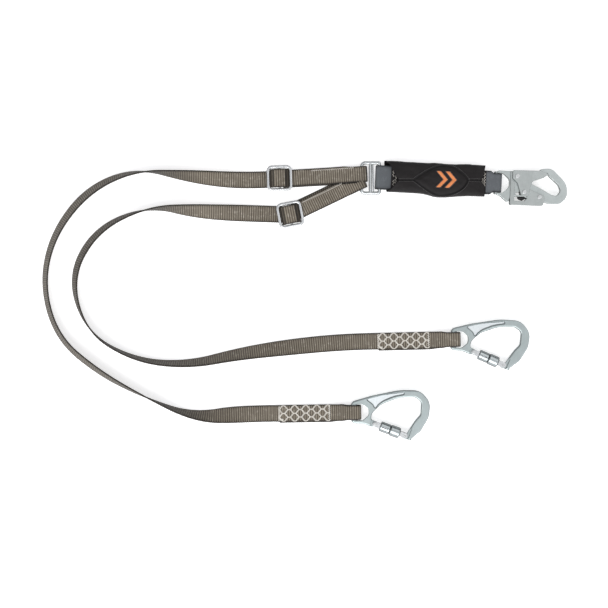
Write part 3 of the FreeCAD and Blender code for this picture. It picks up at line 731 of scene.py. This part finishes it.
def sewn_eye(side, material, thread_look):
    place = eye_place(side)
    profile = eye_profile()

    def sides(local, half):
        trimmed = half - 1.5 * MM * smooth(local[:, 0], -0.026, -0.014)
        shift = ply_shift(local, 1.9 * MM)
        return trimmed + shift, trimmed - shift
    piece = ribbon(side + "_sewn_eye_look", place, profile, sides)
    finish_piece(piece, material, side + "_sewn_eye")
    fold = EYE_TIP + EYE_BEND
    shade(piece, place, lambda x: 0.8 * smooth(x, fold - 4.6 * MM, fold - 2.2 * MM))
    height = top_height(profile)
    start, end = SEWN
    paths = []
    for row in range(LATTICE_ROWS):
        middle = (row - (LATTICE_ROWS - 1) / 2) * LATTICE_GAP
        x = np.linspace(start, end, 500)
        for lag in (0.0, 0.42):
            swing = np.cos(2 * math.pi * (x - start) / LATTICE_WAVE + math.pi * (row % 2) + lag)
            y = middle + LATTICE_GAP * 0.56 * np.sign(swing) * np.abs(swing) ** 0.85
            paths.append((x, y))
    reach = WEB_WIDTH / 2 - 2.0 * MM
    for x0, step in ((start, 1), (end, -1)):
        y = np.linspace(-reach, reach, 160)
        x = x0 + step * (1.2 * MM + 1.1 * MM * np.sin(2 * math.pi * y / (3.1 * MM)))
        paths.append((x, y))
    tack = np.linspace(0, 1, 120)
    paths.append((start + 2.5 * MM + 5 * MM * tack,
                  -reach + 1.5 * MM + 1.2 * MM * np.sin(tack * 40)))
    lines = []
    for x, y in paths:
        z = height(x) + RIB_HEIGHT * 0.3 + 0.1 * MM
        lines.append(place.out(np.stack([x, y, z], axis=1)))
    stitches = thread(side + "_eye_stitching", lines, LATTICE_THREAD)
    finish_piece(stitches, thread_look)


def strap_profile(reach, slack):
    bend = RING_BEND
    tip = bend + slack
    return [(0.004 - reach, LOW_PLY, 0), (-0.044, LOW_PLY, 0.060), (-0.012, MID - bend, 0.030),
            (tip, MID - bend, bend), (tip, MID + bend, bend), (-0.012, MID + bend, 0.030),
            (-0.046, HIGH_PLY, 0.060), (0.002 - reach, HIGH_PLY, 0.008),
            (-0.008 - reach, LOW_PLY, 0.008), (-0.0189 - reach, LOW_PLY, 0)]


def edge_stitches(side, profile, start, end, inset, thread_look):
    """Zigzag row along the strap's far edge."""
    height = top_height(profile)
    x = np.linspace(start, end, 900)
    wave = 2 / math.pi * np.arcsin(np.sin(2 * math.pi * x / RIB_PITCH))
    y = WEB_WIDTH / 2 - inset + 0.9 * MM * wave
    line = strap_place(side).out(np.stack([x, y, height(x) - 0.07 * MM], axis=1))
    piece = thread(side + "_edge_stitching", [line], EDGE_THREAD, stitch=RIB_PITCH / 2)
    finish_piece(piece, thread_look)


def outer_strap(material, thread_look):
    def sides(local, half):
        shift = ply_shift(local, 1.6 * MM)
        return half + shift, half - shift - 1.6 * MM * smooth(local[:, 0], -0.030, -0.012)
    profile = strap_profile(0.1267, 3.8 * MM)
    piece = ribbon("outer_adjust_loop_look", strap_place("outer"), profile, sides)
    finish_piece(piece, material, "outer_adjust_loop")
    shade(piece, strap_place("outer"), lambda x: 0.35 * smooth(x, -0.002, 0.004)
          + 0.65 * smooth(x, 0.0062, 0.0074))
    edge_stitches("outer", profile, -0.078, -0.012, 3.4 * MM, thread_look)


def inner_strap(material, thread_look):
    """Bunched where it shares the ring's bar with the outer strap."""
    place, other = strap_place("inner"), strap_place("outer")
    edge = other.origin - other.side * (WEB_WIDTH / 2 + 0.6 * MM)
    spread = place.side[0] * other.ahead[1] - place.side[1] * other.ahead[0]

    def sides(local, half):
        centre = place.out(local * np.array([1, 0, 0]))
        away = edge - centre
        free = (away[:, 0] * other.ahead[1] - away[:, 1] * other.ahead[0]) / spread
        shift = ply_shift(local, 3.0 * MM)
        return half - shift, np.minimum(half + shift, free)
    reach = STRAP_REACH["inner"]
    profile = strap_profile(0.1197, -0.7 * MM)[:7] + [(-reach, HIGH_PLY, 0)]
    piece = ribbon("inner_adjust_loop_look", place, profile, sides)
    finish_piece(piece, material, "inner_adjust_loop")
    shade(piece, place, lambda x: 0.35 * smooth(x, -0.008, 0.0) + 0.65 * smooth(x, 0.0028, 0.0042))
    edge_stitches("inner", profile, -0.098, -0.030, 4.0 * MM, thread_look)


def adjuster_wrap(side, material):
    foot, crest, reach = 6.6 * MM, 11.2 * MM, 14.9 * MM
    profile = [(-reach, foot, 0), (-9.6 * MM, foot, 1.5 * MM),
               (-7.6 * MM, crest - 0.8 * MM, 2.5 * MM), (0, crest + 0.4 * MM, 20 * MM),
               (7.6 * MM, crest - 0.8 * MM, 2.5 * MM), (9.6 * MM, foot, 1.5 * MM), (reach, foot, 0)]
    place = adjuster_place(side)
    piece = ribbon(side + "_adjuster_wrap_look", place, profile,
                   width=WRAP_WIDTH, ribs=RIB_HEIGHT * 0.8)
    shade(piece, place, lambda x: np.where(x < 0, 0.62, 0.95) * smooth(abs(x), 7.6 * MM, 9.2 * MM)
          + 0.35 * smooth(-x, 11.5 * MM, 12.5 * MM))
    finish_piece(piece, material, side + "_adjuster_wrap", side + "_adjuster")


# ---- shock absorber
def on_pack(points):
    """To the scene, from mm in the absorber's frame with heights from the middle plane."""
    return pack_place().out(np.asarray(points) * MM + np.array([0, 0, MID]))


def pack_loop(end, material, start, tip, bend, sides=None):
    """Absorber webbing out to its tip, round a bar and back."""
    profile = [(start, MID - bend, 0), (tip, MID - bend, bend), (tip, MID + bend, bend),
               (start, MID + bend, 0)]
    piece = ribbon(end + "_loop_look", pack_place(), profile, sides,
                   PACK_WEB, PACK_PITCH, PACK_RIBS)
    finish_piece(piece, material, end + "_loop_webbing", "absorber")


def hook_loop(material):
    bar = math.dist(JOINTS["absorber_swing"]["pos_m"], JOINTS["hook_swing"]["pos_m"])

    def sides(local, half):
        trimmed = half - 0.5 * MM - 3.3 * MM * smooth(local[:, 0], bar - 0.010, bar - 0.005)
        return trimmed, trimmed
    pack_loop("hook", material, 0.132, bar + HOOK_BEND + 1.5 * MM, HOOK_BEND, sides)


def edge_distance(points, line):
    """Shortest distance in plan from points to a polyline."""
    nearest = np.full(len(points), 1e9)
    for a, b in zip(line[:-1], line[1:]):
        a, b = np.array(a), np.array(b)
        t = np.clip(((points - a) @ (b - a)) / ((b - a) @ (b - a)), 0, 1)
        nearest = np.minimum(nearest, np.linalg.norm(points - a - t[:, None] * (b - a), axis=1))
    return nearest


def inside(points, line):
    """True for points inside a closed polyline in plan."""
    within = np.zeros(len(points), dtype=bool)
    x, y = points[:, 0], points[:, 1]
    for (x0, y0), (x1, y1) in zip(line[:-1], line[1:]):
        crosses = (y0 > y) != (y1 > y)
        within ^= crosses & (x < (x1 - x0) * (y - y0) / (y1 - y0 + 1e-12) + x0)
    return within


def rounded_line(points):
    """Corner-cut polyline, for a softer outline."""
    line = np.array(points, dtype=float)
    for _ in range(2):
        mid0 = line[:-1] * 0.75 + line[1:] * 0.25
        mid1 = line[:-1] * 0.25 + line[1:] * 0.75
        line = np.concatenate([line[:1], np.stack([mid0, mid1], 1).reshape(-1, 2), line[-1:]])
    return line


def cover_section(x, around):
    """y and z of the cover's outside at x, going round from the middle of its underside (mm)."""
    swell = smooth(x, 5, 29) * smooth(-x, -165, -147)
    high = 9.4 + 5.4 * swell
    low = -8.6
    top = 26.0 - 0.5 * np.sin(math.pi * np.clip((x - 6) / 158, 0, 1))
    bottom = -22.0 - 5.0 * np.exp(-((x - 92) / 17) ** 2) * np.where(x < 92, 1, 0.0) \
        - 5.0 * np.exp(-((x - 92) / 34) ** 2) * np.where(x < 92, 0.0, 1)
    middle, half = (top + bottom) / 2, (top - bottom) / 2
    zc, zh = (high + low) / 2, (high - low) / 2
    turn = around * 2 * math.pi
    c, s = -np.sin(turn), -np.cos(turn)
    y = middle + half * np.sign(c) * np.abs(c) ** 0.62
    z = zc + zh * np.sign(s) * np.abs(s) ** 0.42
    return y, z


def cover(material, thread_look):
    """Cloth tube with notched ends, stitched flaps and the panel that bulges between them."""
    rows, columns = COVER_ROWS, COVER_COLUMNS
    fine = np.linspace(0, 1, COVER_SAMPLES)
    y, z = cover_section(np.full(COVER_SAMPLES, COVER_MIDDLE), fine)
    s = np.concatenate([[0], np.cumsum(np.hypot(np.diff(y), np.diff(z)))])
    around = np.interp(np.linspace(0, s[-1], columns + 1)[:-1], s, fine)
    y0, z0 = cover_section(np.full(columns, COVER_PLAIN), around)
    topside = z0 > 0.5
    left = np.where(topside, np.interp(y0, *zip(*LEFT_EDGE)),
                    np.interp(y0, *zip(*LEFT_EDGE_BELOW)))
    right = np.where(topside, np.interp(y0, *zip(*RIGHT_EDGE)), RIGHT_END)
    u = np.linspace(0, 1, rows)[:, None]
    x = left[None, :] + (right - left)[None, :] * u
    a = np.broadcast_to(around, x.shape)
    y, z = cover_section(x, a)
    points = np.stack([x, y, z], axis=-1)
    step_x = np.gradient(points, axis=0)
    step_a = np.roll(points, -1, axis=1) - np.roll(points, 1, axis=1)
    normal = unit(np.cross(step_a, step_x))
    if normal[rows // 2, columns // 2, 2] < 0:
        normal = -normal
    plan = points[..., :2].reshape(-1, 2)
    panel = rounded_line(PANEL)
    upper = smooth(z, 0.5, 4.0).ravel()
    gap = edge_distance(plan, panel)
    within = inside(plan, panel)
    rise = np.where(within, 1.3 * smooth(gap, 0, 7) - 0.2, 0.5 * (1 - smooth(gap, 1.2, 3.6)))
    rise -= 0.95 * np.exp(-(gap / 0.85) ** 2)
    # Painted shade in the grooves along the panel's outline and the seams, kept for the material.
    dark = np.exp(-(gap / 1.0) ** 2)
    for seam in SEAMS:
        off = edge_distance(plan, rounded_line(seam))
        rise += 0.35 * (1 - smooth(off, 1.0, 3.2)) - 1.2 * np.exp(-(off / 0.8) ** 2)
        dark = np.maximum(dark, np.exp(-(off / 0.9) ** 2))
    rim = np.minimum(x - left, right - x).ravel()
    rise += 0.35 * np.exp(-((rim - 1.6) / 1.3) ** 2)
    folds = np.array([
        0.8 * noise.noise(Vector((px / 24, py / 9, 1.7)))
        + 0.34 * noise.noise(Vector((px / 7, py / 5, 5.1)))
        + 1.1 * max(0.0, noise.noise(Vector((px / 30 + py / 14, py / 30 - px / 40, 9.3))) - 0.1)
        for px, py in plan])
    rise = rise * upper + folds * (0.35 + 0.65 * upper)
    outer = points + normal * rise.reshape(x.shape)[..., None]
    inner = points + normal * (np.minimum(rise.reshape(x.shape), 0) - COVER_WALL)[..., None]
    shell = on_pack(np.concatenate([outer.reshape(-1, 3), inner.reshape(-1, 3)]))
    base = rows * columns
    faces = grid_faces(rows, columns, True)
    faces += [tuple(base + i for i in reversed(q)) for q in faces]
    for row, flip in ((0, False), (rows - 1, True)):
        for j in range(columns):
            k = (j + 1) % columns
            quad = (row * columns + k, row * columns + j, base + row * columns + j,
                    base + row * columns + k)
            faces.append(tuple(reversed(quad)) if flip else quad)
    across = np.broadcast_to(np.arange(columns) * s[-1] / columns, x.shape)
    uv = np.stack([across, x], axis=-1).reshape(-1, 2) * MM
    piece = mesh_piece("absorber_cover_look", shell, faces, True, np.concatenate([uv, uv]))
    seam = piece.data.attributes.new("seam", "FLOAT", "POINT")
    seam.data.foreach_set("value", np.concatenate([dark * upper, dark * 0]).astype(np.float32))
    finish_piece(piece, material, "absorber_cover", "absorber")
    top = outer[:, topside].reshape(-1, 3)

    def surface(where):
        """Height of the cover's top over a place in plan, in mm."""
        away = np.linalg.norm(where[:, None] - top[None, :, :2], axis=2)
        near = np.argsort(away, axis=1)[:, :4]
        weight = 1 / (np.take_along_axis(away, near, axis=1) + 0.05)
        return (top[near, 2] * weight).sum(axis=1) / weight.sum(axis=1)

    rows_of_stitches = [offset_line(panel, 2.4)]
    for seam_line in SEAMS:
        for shift in (-2.2, 2.2):
            rows_of_stitches.append(offset_line(rounded_line(seam_line), shift))
    lines = []
    for line in rows_of_stitches:
        line, _, _ = resample(line, 1.0)
        lines.append(on_pack(np.column_stack([line, surface(line) + 0.08])))
    stitches = thread("cover_stitching", lines, COVER_THREAD, 2.6 * MM)
    finish_piece(stitches, thread_look, None, "absorber")
    return surface


def offset_line(line, shift):
    """Polyline moved to its left in plan, which is outwards for a clockwise outline."""
    along = tangents(line)
    return line + np.stack([-along[:, 1], along[:, 0]], axis=1) * shift


def chevron_badge(surface, orange, dark):
    """Two satin-stitched chevrons with a dark corded edge, lying on the cover."""
    points, faces, cords = [], [], []
    arm, slope, wide = CHEVRON_ARM, CHEVRON_SLOPE, CHEVRON_WIDE
    for start in CHEVRON_STARTS:
        y = np.linspace(-arm, arm, CHEVRON_ROWS)
        t = np.linspace(0, 1, CHEVRON_COLUMNS)
        left = start + slope * (1 - np.abs(y) / arm)
        x = left[:, None] + wide * t[None, :]
        yy = np.broadcast_to(y[:, None], x.shape)
        plan = np.stack([x.ravel(), yy.ravel()], axis=1)
        ground = surface(plan).reshape(x.shape)
        dome = (1 - np.abs(2 * t - 1) ** 3)[None, :] * 0.75
        satin = 0.75 + 0.25 * np.abs(np.sin(math.pi * y / SATIN_PITCH))[:, None]
        top = ground + 0.15 + dome * satin
        base = len(points)
        count = x.size
        for z in (top, ground - 0.5):
            points.extend(np.stack([x.ravel(), yy.ravel(), z.ravel()], axis=1).tolist())
        quads = grid_faces(len(y), len(t), False)
        faces += [tuple(base + i for i in reversed(q)) for q in quads]
        faces += [tuple(base + count + i for i in q) for q in quads]
        rim = (list(range(len(t))) + [i * len(t) + len(t) - 1 for i in range(1, len(y))]
               + [(len(y) - 1) * len(t) + j for j in range(len(t) - 2, -1, -1)]
               + [i * len(t) for i in range(len(y) - 2, 0, -1)])
        for a, b in zip(rim, rim[1:] + rim[:1]):
            faces.append((base + a, base + b, base + count + b, base + count + a))
        outline = np.array([(start, -arm), (start + wide, -arm), (start + wide + slope, 0),
                            (start + wide, arm), (start, arm), (start + slope, 0), (start, -arm)])
        line, _, _ = resample(outline, 0.6)
        cords.append(on_pack(np.column_stack([line, surface(line) + 0.3])))
    badge = mesh_piece("chevron_badge", on_pack(points), faces, True)
    finish_piece(badge, orange, "cover_emblem", "absorber")
    edge = thread("chevron_edge", cords, CORD_EDGE, 0.9 * MM)
    finish_piece(edge, dark, None, "absorber")


def backing(name, x0, x1, top, material):
    """Dark reinforcing cloth sewn on an absorber loop, seen in the cover's notch."""
    place = pack_place()
    count = BACKING_STEPS
    at = np.linspace(x0, x1, count)
    line = np.stack([at, np.zeros(count), np.full(count, top)], axis=1)
    across = np.tile(place.side, (count, 1))
    normal = np.tile(UP, (count, 1))
    reach = np.full(count, PACK_WEB / 2 - 0.8 * MM)
    piece = strap(name, place.out(line), at, across, normal, reach, reach, PACK_PITCH, 0.05 * MM,
                  thick=0.8 * MM, flat_count=25)
    finish_piece(piece, material, None, "absorber")


def bar_tacks(name, columns, top, material):
    """Wavy white reinforcing stitches; each column is (x, lowest y, highest y) in mm."""
    place = pack_place()
    lines = []
    for x, low, high in columns:
        y = np.linspace(low, high, TACK_STEPS)
        wave = x + 1.15 * np.sin(2 * math.pi * (y - low) / 4.4)
        local = np.stack([wave, y, np.full(TACK_STEPS, top / MM)], axis=1) * MM
        lines.append(place.out(local))
    piece = thread(name, lines, TACK_THREAD, 1.9 * MM)
    finish_piece(piece, material, None, "absorber")


# ---- hook
def lever_spring(material):
    """Coil between the hook's body and its lever."""
    place = swing_place("hook_swing")
    low, high = (np.array(corner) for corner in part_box("hook_lever_spring"))
    middle = (low + high) / 2
    wire, turns = 1.2 * MM, 4
    radius = (high[2] - low[2] - wire) / 2
    length = turns * 1.85 * MM
    turn = np.linspace(0, 2 * math.pi * turns, 40 * turns)
    down = (turn / turn[-1] - 0.5) * length
    line = (middle + (radius * np.cos(turn))[:, None] * place.ahead
            - down[:, None] * place.side + (radius * np.sin(turn))[:, None] * UP)
    along = tangents(line)
    out = unit(line - middle + (down[:, None] * place.side))
    across = unit(np.cross(along, out))
    out = unit(np.cross(across, along))
    ring = np.linspace(0, 2 * math.pi, 11)[:-1]
    circle = np.cos(ring)[:, None] * across[:, None] + np.sin(ring)[:, None] * out[:, None]
    points = line[:, None] + wire / 2 * circle
    faces = tube_faces(len(line), len(ring))
    piece = mesh_piece("hook_lever_spring_look", points.reshape(-1, 3), faces, True)
    finish_piece(piece, material, "hook_lever_spring", "snap_hook")
    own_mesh(piece)


def window_shade_block(material):
    """Black block put in the lever's window as painted shade, standing for the deep shade seen there."""
    place = swing_place("hook_swing")
    corners = [(40.0, -20.6, 0), (46.5, -20.6, 1), (46.5, -22.8, 1.5), (40.5, -26.2, 2),
               (35.5, -24.6, 2), (31.5, -20.6, 1), (40.0, -20.6, 0)]
    outline = rounded_path([tuple(v * MM for v in corner) for corner in corners], 0.3 * MM)[:-1]
    middle = outline.mean(axis=0)
    rings = []
    for height, scale in ((-3.2, 0.88), (-2.7, 1.0), (2.7, 1.0), (3.2, 0.88)):
        flat = middle + (outline - middle) * scale
        rings.append(np.column_stack([flat, np.full(len(flat), MID + height * MM)]))
    points = place.out(np.array(rings).reshape(-1, 3))
    faces = tube_faces(len(rings), len(outline))
    piece = mesh_piece("hook_lever_bumper", points, faces, True)
    shape = bmesh.new()
    shape.from_mesh(piece.data)
    bmesh.ops.recalc_face_normals(shape, faces=shape.faces)
    shape.to_mesh(piece.data)
    shape.free()
    finish_piece(piece, material, None, "snap_hook")
    top = place.out(np.array([0.040, -0.0206, MID]))
    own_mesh(piece)


# ---- build
def main():
    camera()
    ground()
    lamps()
    sky()
    taupe = webbing_material("taupe_webbing", (0.050, 0.041, 0.031), (0.30, 0.262, 0.208),
                             (0.52, 0.48, 0.41), RIB_PITCH, 1.1 * MM)
    grey = webbing_material("grey_webbing", (0.055, 0.060, 0.066), (0.19, 0.205, 0.22),
                            (0.24, 0.26, 0.28), PACK_PITCH, 1.5 * MM)
    nylon = cover_material()
    white = thread_material("white_thread", (0.44, 0.41, 0.36), (0.77, 0.74, 0.68), 0.55)
    black = thread_material("black_thread", (0.012, 0.011, 0.012), (0.05, 0.046, 0.046), 0.5)
    orange = thread_material("orange_thread", (0.60, 0.16, 0.035), (0.86, 0.30, 0.09), 0.42)
    for side in ("outer", "inner"):
        leg(side, taupe)
        sewn_eye(side, taupe, white)
        adjuster_wrap(side, taupe)
    outer_strap(taupe, white)
    inner_strap(taupe, white)
    pack_loop("ring", grey, 0.040, -RING_BEND - 1.2 * MM, RING_BEND)
    hook_loop(grey)
    surface = cover(nylon, black)
    chevron_badge(surface, orange, black)
    backing("ring_backing", 18 * MM, 48 * MM, MID + 5.8 * MM, nylon)
    backing("hook_backing", 150 * MM, 165 * MM, MID + 7.2 * MM, nylon)
    bar_tacks("ring_bar_tacks", [(21.2, 1.5, 11), (21.8, -13.5, -3.5), (25.2, -10.5, 3)],
              MID + 6.3 * MM, white)
    bar_tacks("hook_bar_tacks", [(159.4, -2.5, 5), (162.6, -6.5, 14)], MID + 7.7 * MM, white)
    steel = {slot: steel_material(*look) for slot, look in STEELS.items()}
    ring = steel_material("ring_plating", (0.70, 0.73, 0.74), 0.18, 0.32)
    carabiner = steel_material("carabiner_forging", (0.54, 0.61, 0.61), 0.28, 0.42,
                               floor=MID + SPINE_FLOOR)
    lever_spring(steel["spring_steel"])
    # Painted shade: a black block in the hook's window.
    window_shade_block(thread_material("black_rubber", (0.004, 0.004, 0.005), (0.014, 0.014, 0.015), 0.6))
    slots = {part["node"]: part["material_slot"] for part in frame["record"]["subparts"]}
    for name, piece in frame["nodes"].items():
        if slots[name] in steel:
            piece.data.materials.clear()
            look = carabiner if "carabiner_body" in name else steel[slots[name]]
            piece.data.materials.append(ring if name == "connector_ring" else look)
        elif name in ("tear_webbing_pack", "backup_webbing"):
            piece.data.materials.clear()
            piece.data.materials.append(grey)


main()
bpy.context.scene.view_settings.view_transform = "Standard"
